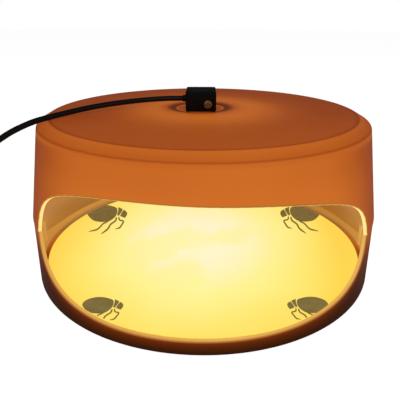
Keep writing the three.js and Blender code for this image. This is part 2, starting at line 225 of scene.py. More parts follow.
def joined(name, parts):
    """Several closed meshes made one piece."""
    first = parts[0]
    with bpy.context.temp_override(active_object=first, selected_editable_objects=parts):
        bpy.ops.object.join()
    first.name = first.data.name = name
    return first


# ------------------------------------------------------------------ materials

class Finish:
    """A small helper that wires one procedural material."""

    def __init__(self, name, roughness=0.5, metallic=0.0, **sockets):
        self.material = bpy.data.materials.new(name)
        self.material.use_nodes = True
        self.nodes = self.material.node_tree.nodes
        self.links = self.material.node_tree.links
        self.shader = self.nodes["Principled BSDF"]
        self.shader.inputs["Roughness"].default_value = roughness
        self.shader.inputs["Metallic"].default_value = metallic
        for socket, value in sockets.items():
            self.shader.inputs[socket.replace("_", " ")].default_value = value
        self.place = self.nodes.new("ShaderNodeTexCoord").outputs["Object"]

    def node(self, kind, **settings):
        made = self.nodes.new("ShaderNode" + kind)
        for key, value in settings.items():
            setattr(made, key, value)
        return made

    def wire(self, source, target):
        self.links.new(source, target)

    def moved(self, centre=(0, 0, 0), scale=(1, 1, 1)):
        """Object coordinates measured from a centre, and stretched."""
        node = self.node("Mapping")
        node.inputs["Location"].default_value = [-c * s for c, s in zip(centre, scale)]
        node.inputs["Scale"].default_value = scale
        self.wire(self.place, node.inputs["Vector"])
        return node.outputs["Vector"]

    def noise(self, scale, detail=3.0, roughness=0.5, at=None):
        node = self.node("TexNoise")
        node.inputs["Scale"].default_value = scale
        node.inputs["Detail"].default_value = detail
        node.inputs["Roughness"].default_value = roughness
        self.wire(at or self.place, node.inputs["Vector"])
        return node.outputs["Fac"]

    def ramp(self, value, stops):
        """Colours between (position, (r, g, b)) stops."""
        node = self.node("ValToRGB")
        ramp = node.color_ramp
        while len(ramp.elements) < len(stops):
            ramp.elements.new(0.5)
        for element, (position, colour) in zip(ramp.elements, stops):
            element.position = position
            element.color = (*colour, 1)
        self.wire(value, node.inputs["Fac"])
        return node.outputs["Color"]

    def mapped(self, value, low, high, new_low, new_high):
        node = self.node("MapRange")
        for socket, number in zip(("From Min", "From Max", "To Min", "To Max"),
                                  (low, high, new_low, new_high)):
            node.inputs[socket].default_value = number
        self.wire(value, node.inputs["Value"])
        return node.outputs["Result"]

    def maths(self, operation, a, b):
        node = self.node("Math", operation=operation)
        for socket, value in zip(node.inputs, (a, b)):
            if isinstance(value, (int, float)):
                socket.default_value = value
            else:
                self.wire(value, socket)
        return node.outputs["Value"]

    def mixed(self, share, a, b):
        """Two colours mixed by a share, which is a socket or a number."""
        node = self.node("Mix", data_type="RGBA")
        for socket, value in ((node.inputs["Factor"], share), (node.inputs[6], a), (node.inputs[7], b)):
            if isinstance(value, (int, float)):
                socket.default_value = value
            elif isinstance(value, tuple):
                socket.default_value = (*value, 1)
            else:
                self.wire(value, socket)
        return node.outputs[2]

    def height(self):
        """Z of the object coordinates."""
        node = self.node("SeparateXYZ")
        self.wire(self.place, node.inputs[0])
        return node.outputs["Z"]

    def attribute(self, name):
        return self.node("Attribute", attribute_name=name).outputs["Fac"]

    def colour(self, socket):
        self.wire(socket, self.shader.inputs["Base Color"])

    def glow(self, colour, strength=1.0):
        self.wire(colour, self.shader.inputs["Emission Color"])
        self.shader.inputs["Emission Strength"].default_value = strength

    def rough(self, value):
        self.wire(value, self.shader.inputs["Roughness"])

    def bump(self, height, strength, distance):
        node = self.node("Bump")
        node.inputs["Strength"].default_value = strength
        node.inputs["Distance"].default_value = distance
        self.wire(height, node.inputs["Height"])
        self.wire(node.outputs["Normal"], self.shader.inputs["Normal"])


# Painted lamplight: the glow colour it gives amber, by how much of it shows. The brown step at 0.60 is
# painted shade.
LAMPLIGHT = [
    (0.00, (0.0, 0.0, 0.0)),
    (0.20, (0.070, 0.012, 0.001)),
    (0.32, (0.155, 0.022, 0.002)),
    (0.40, (0.240, 0.045, 0.004)),
    (0.55, (0.440, 0.115, 0.014)),
    (0.575, (0.440, 0.118, 0.015)),
    (0.60, (0.270, 0.110, 0.018)),
    (0.66, (0.360, 0.168, 0.050)),
    (0.76, (0.450, 0.200, 0.034)),
    (0.87, (0.720, 0.390, 0.085)),
    (1.00, (1.000, 0.820, 0.300)),
]
# Painted light: a paler base colour for amber where the painted lamplight is strong
LIT_BASE = (0.120, 0.066, 0.022)

# How much painted lamplight shows on each part of the amber pieces
TOP_SHOWS = 0.335
WELL_SHOWS = 0.37
SHOULDER_SHOWS = 0.51
DRUM_SHOWS = 0.53
INNER_DRUM_SHOWS = 0.66
INNER_TRAY_SHOWS = 0.77
SKIRT_END_SHOWS = 0.80
DRUM_EDGE_SHOWS = 0.91


def amber_plastic(name, base, base_worn, gloss):
    """Polished amber moulding. The piece's own "lamp" attribute says how much of the lamp's
    light comes through or off each place, and that light is painted: an emitted glow, and a
    paler base colour where it is strong. The glow runs from deep orange outside, over tan on
    the inner walls, to pale yellow on the cut edges."""
    finish = Finish(name, roughness=0.38, Specular_IOR_Level=gloss)
    lamp = finish.attribute("lamp")
    cloud = finish.noise(14, detail=2)
    amber = finish.ramp(cloud, [(0.3, base), (0.7, base_worn)])
    # painted light: the base colour turns paler where the painted lamplight is strong
    finish.colour(finish.mixed(finish.mapped(lamp, 0.57, 0.60, 0.0, 0.85), amber, LIT_BASE))
    uneven = finish.mapped(finish.noise(9, detail=2), 0.3, 0.7, 0.97, 1.03)
    finish.glow(finish.ramp(finish.maths("MULTIPLY", lamp, uneven), LAMPLIGHT))
    grain = finish.noise(700, detail=2)
    finish.rough(finish.mapped(finish.noise(60), 0.3, 0.7, 0.32, 0.46))
    finish.bump(grain, 0.06, 0.1 * MM)
    return finish.material


def glowing_disc():
    """Sticky yellow film with painted lamplight: it glows palest under the lamp and golden towards
    the rim, with a painted soft whitish glare in drifting patches."""
    finish = Finish("glowing_glue", roughness=0.35, Specular_IOR_Level=0.15)
    from_lamp = finish.node("VectorMath", operation="LENGTH")
    finish.wire(finish.moved((-0.002, 0.012, 0), (10.2, 7.4, 0)), from_lamp.inputs[0])
    drift = finish.mapped(finish.noise(16, detail=3), 0.3, 0.7, -0.04, 0.04)
    warm = finish.ramp(finish.maths("ADD", from_lamp.outputs["Value"], drift), [
        (0.00, (0.970, 0.935, 0.490)),
        (0.35, (0.975, 0.932, 0.430)),
        (0.60, (0.985, 0.910, 0.300)),
        (0.80, (0.985, 0.820, 0.170)),
        (1.00, (0.985, 0.700, 0.092)),
    ])
    middle = finish.node("VectorMath", operation="LENGTH")
    finish.wire(finish.moved((-0.007, 0.0, 0), (18, 15, 0)), middle.inputs[0])
    under_lamp = finish.mapped(middle.outputs["Value"], 0.4, 1.0, 0.85, 0.0)
    patches = finish.mapped(finish.noise(26, detail=5, roughness=0.55), 0.45, 0.56, 0.0, 1.0)
    # painted glare: whitish patches under the lamp
    glare = finish.maths("MULTIPLY", under_lamp, patches)
    shown = finish.mixed(glare, warm, (0.960, 0.945, 0.700))
    finish.glow(shown, 0.86)
    finish.colour(finish.mixed(0.72, shown, (0.10, 0.07, 0.01)))
    ripple = finish.noise(120, detail=2)
    finish.bump(ripple, 0.15, 0.3 * MM)
    return finish.material


def plain_card():
    """Pale yellow printed card with a fine fibre, and a painted glow in its own colour for the lamplight on
    it.
    """
    finish = Finish("disc_card", roughness=0.85)
    fibre = finish.noise(900, detail=4, at=finish.moved(scale=(1, 0.25, 1)))
    print_colour = finish.ramp(fibre, [(0.35, (0.72, 0.50, 0.10)), (0.65, (0.84, 0.62, 0.16))])
    finish.colour(print_colour)
    # painted lamplight: the card glows in its own colour
    finish.glow(print_colour, 0.5)
    finish.bump(fibre, 0.2, 0.1 * MM)
    return finish.material


def flea_ink():
    """Matt olive-brown ink with a slight mottle, and a little painted glow in its own colour for the
    lamplight from below the print.
    """
    finish = Finish("flea_ink", roughness=0.75, Specular_IOR_Level=0.2)
    mottle = finish.noise(260, detail=3)
    ink = finish.ramp(mottle, [(0.3, (0.145, 0.120, 0.042)), (0.7, (0.175, 0.148, 0.052))])
    finish.colour(ink)
    # painted lamplight: the ink glows a little in its own colour
    finish.glow(ink, 0.75)
    return finish.material


def moulding(name, dark, light, grain_scale, roughness, bump_strength, gloss=0.2):
    """Moulded or pressed stuff, with a fine grain that catches the light unevenly."""
    finish = Finish(name, roughness=roughness, Specular_IOR_Level=gloss)
    grain = finish.noise(grain_scale, detail=3)
    finish.colour(finish.ramp(grain, [(0.35, dark), (0.70, light)]))
    finish.rough(finish.mapped(finish.noise(grain_scale / 6), 0.3, 0.7,
                               roughness - 0.07, roughness + 0.08))
    finish.bump(grain, bump_strength, 0.1 * MM)
    return finish.material


def metal(name, bright, dull, roughness, scratch):
    """Bare metal: a tint that wanders between bright and dull, and fine drawn scratches."""
    finish = Finish(name, roughness=roughness, metallic=1.0)
    tarnish = finish.noise(180, detail=4)
    finish.colour(finish.ramp(tarnish, [(0.35, bright), (0.70, dull)]))
    drawn = finish.noise(500, detail=3, at=finish.moved(scale=scratch))
    finish.rough(finish.mapped(drawn, 0.3, 0.7, roughness - 0.08, roughness + 0.12))
    finish.bump(drawn, 0.12, 0.05 * MM)
    return finish.material


def lit_glass():
    """Frosted lamp glass, alight: whitest round its belly and more orange towards the cap."""
    finish = Finish("lit_glass", roughness=0.25)
    height = finish.mapped(finish.height(), GLASS_BOTTOM_Z, GLASS_BOTTOM_Z + 25 * MM, 0.0, 1.0)
    shown = finish.ramp(height, [
        (0.0, (1.0, 0.80, 0.42)),
        (0.4, (1.0, 0.86, 0.52)),
        (1.0, (1.0, 0.55, 0.16)),
    ])
    frost = finish.noise(400, detail=2)
    finish.colour(finish.ramp(frost, [(0.3, (0.82, 0.76, 0.66)), (0.7, (0.92, 0.88, 0.80))]))
    finish.glow(shown, 1.6)
    finish.bump(frost, 0.05, 0.1 * MM)
    return finish.material


def hot_wire():
    """Tungsten wire at orange-white heat, brighter at the middle of the loop."""
    finish = Finish("hot_wire", roughness=0.4, metallic=1.0)
    hot = finish.mapped(finish.height(), GLASS_BOTTOM_Z + 9 * MM, GLASS_BOTTOM_Z + 20 * MM, 1.0, 0.0)
    finish.colour(finish.ramp(hot, [(0.0, (0.25, 0.23, 0.21)), (1.0, (0.6, 0.5, 0.4))]))
    finish.glow(finish.ramp(hot, [(0.0, (0.05, 0.01, 0.0)), (1.0, (1.0, 0.7, 0.3))]), 6.0)
    return finish.material


AMBER = amber_plastic("amber_plastic", (0.400, 0.082, 0.012), (0.430, 0.092, 0.014), 0.07)
# The tray's amber: a far darker base than the cover's, partly for the tray's thick double wall and partly
# painted shade
THICK_SHADED_AMBER = amber_plastic("thick_shaded_amber_plastic", (0.060, 0.015, 0.004), (0.075, 0.019, 0.005), 0.03)
GLUE = glowing_disc()
CARD = plain_card()
INK = flea_ink()
BLOCK_BLACK = moulding("block_black", (0.0020, 0.0018, 0.0014), (0.0050, 0.0045, 0.0036),
                       900, 0.55, 0.25, gloss=0.10)
CORD_BLACK = moulding("cord_black", (0.003, 0.003, 0.0034), (0.006, 0.006, 0.0066), 500, 0.42, 0.10)
PLUG_BLACK = moulding("plug_black", (0.006, 0.006, 0.0065), (0.012, 0.012, 0.012), 1300, 0.60, 0.30)
RUBBER = moulding("foot_rubber", (0.012, 0.011, 0.010), (0.022, 0.020, 0.018), 700, 0.85, 0.30)
PHENOLIC = moulding("phenolic", (0.013, 0.008, 0.006), (0.030, 0.017, 0.011), 400, 0.32, 0.08)
FIBRE = moulding("insulating_board", (0.28, 0.18, 0.08), (0.40, 0.27, 0.13), 800, 0.80, 0.35)
OLD_BRASS = metal("old_brass", (0.34, 0.20, 0.07), (0.10, 0.06, 0.03), 0.38, (1, 1, 0.1))
BRASS = metal("brass", (0.62, 0.40, 0.14), (0.38, 0.22, 0.08), 0.30, (1, 1, 0.1))
NICKEL = metal("nickel", (0.60, 0.57, 0.52), (0.45, 0.42, 0.38), 0.25, (1, 1, 0.1))
ZINC = metal("zinc", (0.55, 0.55, 0.54), (0.38, 0.38, 0.38), 0.36, (0.1, 1, 1))
GLASS = lit_glass()
HOT_WIRE = hot_wire()


# ------------------------------------------------------------------ camera, floor and light

def camera():
    """The camera stands in front of the mouth and looks 20 degrees down at the drum."""
    data = bpy.data.cameras.new("camera")
    data.sensor_width = 36
    data.lens = 41.24
    data.shift_x = -0.00905
    data.shift_y = -0.0375
    data.clip_start = 0.01
    eye = bpy.data.objects.new("camera", data)
    bpy.context.scene.collection.objects.link(eye)
    eye.location = (0, -0.2848, 0.1550)
    eye.rotation_mode = "XYZ"
    eye.rotation_euler = (radians(90 - 20.15), 0, 0)
    eye.rotation_euler.rotate_axis("Z", radians(0.2))
    bpy.context.scene.camera = eye


def soft_light(name, place, size, power, colour=(1, 1, 1)):
    """A square softbox that faces the drum."""
    data = bpy.data.lights.new(name, "AREA")
    data.size = size
    data.energy = power
    data.color = colour
    lamp = bpy.data.objects.new(name, data)
    lamp.location = place
    aim = Vector((0, 0, 0.05)) - lamp.location
    lamp.rotation_euler = aim.to_track_quat("-Z", "Y").to_euler()
    bpy.context.scene.collection.objects.link(lamp)


def studio():
    """A white surround, a pale floor and soft light from the front and above."""
    world = bpy.data.worlds.new("studio")
    bpy.context.scene.world = world
    world.use_nodes = True
    tree = world.node_tree
    surround = tree.nodes["Background"]
    path = tree.nodes.new("ShaderNodeLightPath")
    seen = tree.nodes.new("ShaderNodeMapRange")
    seen.inputs["To Min"].default_value = 0.10
    seen.inputs["To Max"].default_value = 1.0
    tree.links.new(path.outputs["Is Camera Ray"], seen.inputs["Value"])
    tree.links.new(seen.outputs["Result"], surround.inputs["Strength"])
    surround.inputs["Color"].default_value = (1, 1, 1, 1)

    soft_light("key", (-0.35, -0.95, 0.75), 0.9, 3.6)
    soft_light("fill", (0.75, -0.75, 0.55), 0.9, 1.6)

    floor_finish = Finish("pale_floor", roughness=0.9, Specular_IOR_Level=0.0)
    speckle = floor_finish.noise(40)
    floor_finish.colour(floor_finish.ramp(speckle, [(0.3, (0.80, 0.80, 0.79)), (0.7, (0.84, 0.84, 0.83))]))
    path = floor_finish.node("LightPath")
    lift = floor_finish.mapped(path.outputs["Is Camera Ray"], 0, 1, 0.0, 0.90)
    floor_finish.wire(lift, floor_finish.shader.inputs["Emission Strength"])
    floor_finish.shader.inputs["Emission Color"].default_value = (1, 1, 1, 1)
    turn = np.linspace(0, tau, 96, endpoint=False)
    rim = np.stack([6 * np.cos(turn), 6 * np.sin(turn), np.zeros(96)], -1)
    mesh = bpy.data.meshes.new("floor")
    mesh.from_pydata(rim.tolist(), [], [list(range(96))])
    floor = bpy.data.objects.new("floor", mesh)
    mesh.materials.append(floor_finish.material)
    bpy.context.scene.collection.objects.link(floor)
    bpy.context.scene.view_settings.view_transform = "Standard"


camera()
studio()


# ------------------------------------------------------------------ cord, coil and plug

CORD_RADIUS = 1.6 * MM
CORD_STEP = 1.5 * MM
COIL_CENTRE = np.array([-175, -100]) * MM
COIL_RADII = np.array([22.4, 19.2, 16]) * MM
COIL_ROWS = 4

LEAD_ROUTE = np.array([
    [-12.4, 0, 107.7],
    [-23, 0.6, 107.4],
    [-35, 0, 106.7],
    [-47, -3, 105.9],
    [-58, -8.5, 105.2],
    [-68, -15.5, 104.4],
    [-77, -23.5, 103.4],
    [-85.5, -32, 102.4],
    [-94, -41.5, 100.8],
    [-103, -53, 96.8],
    [-111.5, -65.5, 89.6],
    [-119.5, -78.5, 77.8],
    [-127, -91, 61.4],
    [-135, -102.5, 42],
    [-143.5, -112.5, 23],
    [-152.5, -120.5, 9.2],
    [-161.5, -125.2, 3],
    [-170, -126.4, 2],
]) * MM

TAIL_ROUTE = np.array([
    [-197.4, -87.2, 9.4],
    [-197.4, -75, 6],
    [-197.4, -66, 2.8],
    [-197.4, -57, 1.8],
    [-197.4, -48, 2.6],
    [-197.4, -40, 5],
    [-197.4, -32.3, 6.5],
]) * MM


def coil_turns():
    """The coil's centreline, clockwise from above. Each turn keeps one radius and one height,
    and slides to the next over its last sixth: in along the first row, out along the second,
    and so on, so that it starts and ends on the outside."""
    start = np.arctan2(*(LEAD_ROUTE[-1, :2] - COIL_CENTRE)[::-1])
    slots = [(r, row) for row in range(COIL_ROWS)
             for r in (COIL_RADII if row % 2 == 0 else COIL_RADII[::-1])]
    radii = np.array([r for r, row in slots])
    heights = CORD_RADIUS + 2 * CORD_RADIUS * np.array([row for r, row in slots])
    turns = len(slots) + (start % tau - pi) / tau
    u = np.linspace(0, turns, int(turns * 72))
    now = np.minimum(u.astype(int), len(slots) - 1)
    later = np.minimum(now + 1, len(slots) - 1)
    share = smooth_step((u - now - 5 / 6) * 6) * (u < len(slots))
    radius = radii[now] * (1 - share) + radii[later] * share
    height = heights[now] * (1 - share) + heights[later] * share
    arriving = np.linalg.norm(LEAD_ROUTE[-1, :2] - COIL_CENTRE) - radii[0]
    settle = 1 - smooth_step(u / 0.16)
    radius = radius + arriving * settle
    height = height + (LEAD_ROUTE[-1, 2] - heights[0]) * settle
    angle = start - tau * u
    return np.stack([COIL_CENTRE[0] + radius * np.cos(angle),
                     COIL_CENTRE[1] + radius * np.sin(angle), height], -1)


def through(points, step):
    """A smooth curve through points: a cubic on each stretch, whose slopes come from the
    neighbours on both sides, sampled about every `step`."""
    ends = np.vstack([2 * points[0] - points[1], points, 2 * points[-1] - points[-2]])
    result = []
    for a, b, c, d in zip(ends, ends[1:], ends[2:], ends[3:]):
        count = max(2, int(np.linalg.norm(c - b) / step))
        t = np.linspace(0, 1, count, endpoint=False)[:, None]
        result.append(b + 0.5 * t * (c - a + t * (2 * a - 5 * b + 4 * c - d
                                                  + t * (3 * (b - c) + d - a))))
    return np.concatenate([*result, points[-1:]])


def power_cord():
    """The whole cord in one tube: over the top and down to the floor, round the coil, and on to
    the plug. The tail's end rises a little, so the tail comes off the plug."""
    coil = coil_turns()
    knots = np.concatenate([LEAD_ROUTE[:-1], coil[:1]])
    leaving = np.concatenate([coil[-1:], TAIL_ROUTE])
    path = np.concatenate([through(knots, CORD_STEP)[:-1], coil[:-1], through(leaving, CORD_STEP)])
    cord = tube("cord", path, CORD_RADIUS, 14, CORD_BLACK)
    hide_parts("cord_lead", "cord_coil", "cord_tail")
    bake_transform(cord)
    length = float(np.linalg.norm(np.diff(path, axis=0), axis=1).sum())
    return cord, path, length


def coil_tie():
    """A flat strap round the coil's section, on the side away from the drum's mouth."""
    low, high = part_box("coil_tie")
    centre_x, centre_z = (low.x + high.x) / 2, (low.z + high.z) / 2
    half_x, half_z = (high.x - low.x) / 2, (high.z - low.z) / 2
    thickness = 0.8 * MM
    turn = np.linspace(0, tau, 64, endpoint=False)
    square = 7
    across = np.sign(np.cos(turn)) * np.abs(np.cos(turn)) ** (2 / square)
    up = np.sign(np.sin(turn)) * np.abs(np.sin(turn)) ** (2 / square)
    rings = []
    for inset, y in ((thickness, low.y), (0, low.y + 0.3 * MM), (0, high.y - 0.3 * MM),
                     (thickness, high.y)):
        rings.append(np.stack([centre_x + (half_x - inset) * across,
                               np.full(64, y), centre_z + (half_z - inset) * up], -1))
    tie = new_piece("coil_strap", np.array(rings), grid_faces(4, 64, True, True), PLUG_BLACK)
    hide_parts("coil_tie")
    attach(tie, "base")
    return tie


def plug():
    """Two-blade plug: a moulded body with rounded edges and finger grooves, a ribbed, tapered
    strain relief behind it, and two flat blades."""
    pieces = []
    low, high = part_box("plug_body")
    body = rounded_box("plug_moulding", low, high, 2.6 * MM, PLUG_BLACK, steps=6)
    ribs = [body]
    half_rib = 0.3 * MM
    for x in (low.x + half_rib, high.x - half_rib):
        for k in range(4):
            y = low.y + (8 + 2.6 * k) * MM
            rib_low = (x - half_rib, y, low.z + 2.6 * MM)
            rib_high = (x + half_rib, y + 1.1 * MM, high.z - 2.6 * MM)
            ribs.append(rounded_box("rib", rib_low, rib_high, 0.28 * MM, PLUG_BLACK, steps=2))
    body = joined("plug_moulding", ribs)
    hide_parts("plug_body")
    pieces.append(body)

    low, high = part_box("plug_relief")
    length = high.y - low.y
    s = np.linspace(0, 1, 81)
    taper = (high.x - low.x) / 2 * (0.57 + 0.43 * s)
    groove = 0.5 * MM * (np.sin(s * 7 * tau) > 0.35) * (s > 0.06) * (s < 0.93)
    profile = np.stack([taper - groove, low.y + length * s], -1)
    profile = np.vstack([[0, low.y], [CORD_RADIUS + 0.1 * MM, low.y], profile[1:], [0, high.y]])
    centre = ((low.x + high.x) / 2, 0, (low.z + high.z) / 2)
    relief = turned("plug_strain_relief", profile, PLUG_BLACK, 40, centre, axis="y")
    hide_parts("plug_relief")
    pieces.append(relief)

    for side in ("left", "right"):
        low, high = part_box(f"plug_blade_{side}")
        blade = rounded_box(f"plug_pin_{side}", low, high, 0.55 * MM, BRASS, steps=4)
        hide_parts(f"plug_blade_{side}")
        pieces.append(blade)
    for piece, slot in zip(pieces, ("cord_pvc", "cord_pvc", "brass", "brass")):
        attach(piece, "base")
    return pieces


cord, cord_path, cord_length = power_cord()
tie = coil_tie()
plug()


# ------------------------------------------------------------------ amber cover and tray

def mouth_half(upper, count):
    """Half of the mouth's outline, from its right end to its left, as angles and heights with
    even spacing, and the direction at each point that leads away from the mouth. The outline is
    a squared ellipse: angle = half angle * cos(t)^(2/p), height = reach * sin(t)^(2/p), where
    the upper reach falls evenly from the left end to the right."""
    t = np.linspace(0, pi, 4001)
    power = MOUTH_POWER if upper else LIP_POWER
    across = np.sign(np.cos(t)) * np.abs(np.cos(t)) ** (2 / power)
    angle = MOUTH_TURN + MOUTH_HALF_ANGLE * across
    top = MOUTH_TOP_Z - MOUTH_SLANT * across
    rise = np.abs(np.sin(t)) ** (2 / power) * ((top if upper else MOUTH_LIP_Z) - SEAM_Z)
    flat = np.stack([angle * DRUM_RADIUS, rise], -1)
    done = np.concatenate([[0], np.cumsum(np.linalg.norm(np.diff(flat, axis=0), axis=1))])
    even = np.linspace(0, done[-1], count)
    flat = np.stack([np.interp(even, done, flat[:, k]) for k in (0, 1)], -1)
    along_it = np.gradient(flat, axis=0)
    away = np.stack([along_it[:, 1], -along_it[:, 0]], -1) * (1 if upper else -1)
    away /= np.linalg.norm(away, axis=1, keepdims=True)
    return flat[:, 0] / DRUM_RADIUS, SEAM_Z + flat[:, 1], away


def wall_columns(upper, mouth_count, back_count, edge, round_at_lip):
    """Where each column of a cut drum wall starts: round the mouth's outline, then round the
    back along the seam. Gives angle, height, direction into the wall, and edge rounding."""
    angle, height, away = mouth_half(upper, mouth_count)
    reach = edge / DRUM_RADIUS
    half = MOUTH_HALF_ANGLE + 1.2 * reach
    back = MOUTH_TURN + np.linspace(-half, half - tau, back_count)
    level = SEAM_Z + (GAP if upper else 0)
    height = np.maximum(height, level) if upper else np.minimum(height, level)
    depth = np.abs(height - SEAM_Z) / abs((MOUTH_TOP_Z if upper else MOUTH_LIP_Z) - SEAM_Z)
    rounding = EDGE_ROUND + (round_at_lip - EDGE_ROUND) * smooth_step((depth - 0.7) / 0.3)
    up = np.tile([0, 1.0 if upper else -1.0], (back_count, 1))
    gentle = np.full(back_count, 0.35 * MM)
    return (np.concatenate([angle, back]), np.concatenate([height, np.full(back_count, level)]),
            np.concatenate([away, up]), np.concatenate([rounding, gentle]))


def drum_radius_at(z):
    """The outside of the drum, which narrows evenly from the seam to the shoulder."""
    slope = (DRUM_RADIUS - SHOULDER_RADIUS) / (SHOULDER_Z - SEAM_Z)
    return DRUM_RADIUS - slope * (z - SEAM_Z)


def edge_rows(columns, outside_at, wall, support):
    """The rows that run over a cut edge, from the inner wall to the outer: a support row, a
    quarter round, the flat of the cut, a quarter round and a support row.
    Returns angle, radius and height arrays of rows by columns."""
    angle, height, away, rounding = columns
    inner_round = np.minimum(rounding, 0.5 * MM)
    rows = []

    def add(offset, radius_from_outside):
        z = height + offset * away[:, 1]
        phi = angle + offset * away[:, 0] / DRUM_RADIUS
        rows.append((phi, outside_at(z) - radius_from_outside, z))

    quarter = np.linspace(0, pi / 2, 6)
    add(support + 0 * angle, wall)
    for a in quarter[::-1]:
        add(inner_round * (1 - cos(a)), wall - inner_round * (1 - sin(a)))
    for share in (0.70, 0.58, 0.46):
        add(0 * angle, share * wall)
    for a in quarter:
        add(rounding * (1 - cos(a)), rounding * (1 - sin(a)))
    add(support + 0 * angle, 0 * angle)
    return [np.array(x) for x in zip(*rows)]


def to_points(phi, radius, z):
    """Points from an angle round the drum, a distance from its axis and a height."""
    return np.stack([radius * np.sin(phi), -radius * np.cos(phi), z], -1)


def wall_rows(columns, support, target_z, radius_at, count):
    """Straight columns from the edge's support row to a level line."""
    angle, height, away = columns[:3]
    start = height + support * away[:, 1]
    phi = angle + support * away[:, 0] / DRUM_RADIUS
    share = np.linspace(0, 1, count + 1)[1:, None]
    z = start + (target_z - start) * share
    return np.broadcast_to(phi, z.shape), radius_at(z), z


def level_rows(columns, support, profile):
    """Rows of constant radius and height, from a profile."""
    angle, height, away = columns[:3]
    phi = angle + support * away[:, 0] / DRUM_RADIUS
    shape = (len(profile), len(phi))
    return [np.broadcast_to(phi, shape), np.broadcast_to(profile[:, :1], shape),
            np.broadcast_to(profile[:, 1:], shape)]


def paint_lamplight(piece, light):
    """Stores the painted lamplight each point shows, worked out from its place, as the "lamp" attribute."""
    count = len(piece.data.vertices)
    flat = np.zeros(count * 3)
    piece.data.vertices.foreach_get("co", flat)
    values = light(flat.reshape(-1, 3))
    layer = piece.data.attributes.new("lamp", "FLOAT", "POINT")
    layer.data.foreach_set("value", values.astype(np.float32))


def from_mouth(p, upper):
    """How far each point is from the mouth's outline, measured over the drum's surface."""
    angle, height = mouth_half(upper, 400)[:2]
    phi = np.arctan2(p[:, 0], -p[:, 1])
    return np.hypot((phi[:, None] - angle) * DRUM_RADIUS, p[:, 2:] - height).min(1)


def top_light(x, y, r, painted_side_shade):
    """Painted lamplight through the top: most round the well and towards the mouth, with painted
    shade in a soft band just outside the well and along the rim, a painted light ring at the
    well's edge, and even over the shoulder but for painted shade towards the sides."""
    near_well = smooth_step((WELL_REACH - r) / (10 * MM))
    from_well = np.hypot(x - WELL_SHIFT[0] * near_well, y - WELL_SHIFT[1] * near_well)
    value = TOP_SHOWS + 0.18 * bell(r, 26 * MM, 24 * MM) + 0.07 * smooth_step(-y / (80 * MM))
    # painted shade: a soft dark band just outside the well
    value -= 0.38 * bell(from_well, 17 * MM, 2.6 * MM) + 0.06 * bell(from_well, 22 * MM, 4 * MM)
    well = WELL_SHOWS + 0.10 * bell(from_well, WELL_RADIUS, 0.6 * MM)
    value = np.where(from_well < WELL_RADIUS + 0.6 * MM, well, value)
    value = np.where(r > TOP_RADIUS - 0.4 * MM, SHOULDER_SHOWS - 0.07 * painted_side_shade, value)
    # painted shade: a dark line along the rim of the top
    return value - 0.08 * bell(r, TOP_RADIUS - 1 * MM, 0.8 * MM)


def cover_light(p):
    """Painted lamplight on the cover: dim through the top and the wall, with painted shade towards
    the sides and in the crease of the shoulder; strong on the inner face, with painted shade
    towards its lower edge, and on the skirt's ends; strongest on the cut edge beside the lamp."""
    x, y, z = p.T
    r = np.hypot(x, y)
    phi = np.arctan2(x, -y)
    depth = drum_radius_at(z) - r
    # painted shade: the glow falls off towards the drum's sides
    painted_side_shade = smooth_step((np.abs(phi) - radians(30)) / radians(45))
    on_top = z > SHOULDER_Z - 2.6 * MM
    through_wall = DRUM_SHOWS + 0.03 * smooth_step((MOUTH_TOP_Z + 12 * MM - z) / (16 * MM)) - 0.24 * painted_side_shade
    outside = np.where(on_top, top_light(x, y, r, painted_side_shade), through_wall)
    # painted shade: a dark line in the crease of the shoulder
    outside = outside - 0.13 * bell(z, SHOULDER_Z, 0.55 * MM)
    inside = INNER_DRUM_SHOWS + 0.03 * bell(z, 46 * MM, 12 * MM)
    # painted shade towards the lower edge of the inner face
    inside = inside - 0.06 * smooth_step((31 * MM - z) / (10 * MM))
    share = smooth_step((depth - 0.1 * MM) / (0.5 * MM)) * ~on_top
    share += on_top * (z < TOP_Z - 1 * MM) * (r < TOP_RADIUS)
    value = outside + (inside - outside) * np.clip(share, 0, 1)

    near = from_mouth(p, True)
    from_end = np.minimum(near, from_mouth(p, False))
    on_skirt = (r < SKIRT_OUTSIDE + 0.2 * MM) * (r > SKIRT_INSIDE - 0.2 * MM)
    on_skirt = on_skirt * (z > SKIRT_BOTTOM_Z - 1.2 * MM) * (z < SKIRT_TOP_Z + 1 * MM)
    value += smooth_step(2 - from_end / (0.9 * MM)) * on_skirt * (SKIRT_END_SHOWS - value)
    edge = smooth_step(1.3 - near / (0.6 * MM)) * (depth > -0.1 * MM) * (depth < WALL + 0.4 * MM)
    beside = smooth_step((np.abs(phi) - radians(44)) / radians(8))
    beside = beside * smooth_step((depth - 0.2 * MM) / (0.4 * MM))
    return value + edge * (DRUM_EDGE_SHOWS + (1 - DRUM_EDGE_SHOWS) * beside - value)


def shifted_well(points):
    """The well stands a little to the left of the drum's middle and behind it: points round it
    are moved, and both the stem hole and the rest of the top stay."""
    r = np.hypot(points[..., 0], points[..., 1])
    share = smooth_step((r - 8 * MM) / (5 * MM)) * smooth_step((WELL_REACH - r) / (10 * MM))
    share = share * (points[..., 2] > WELL_Z - 1 * MM)
    return points + share[..., None] * WELL_SHIFT


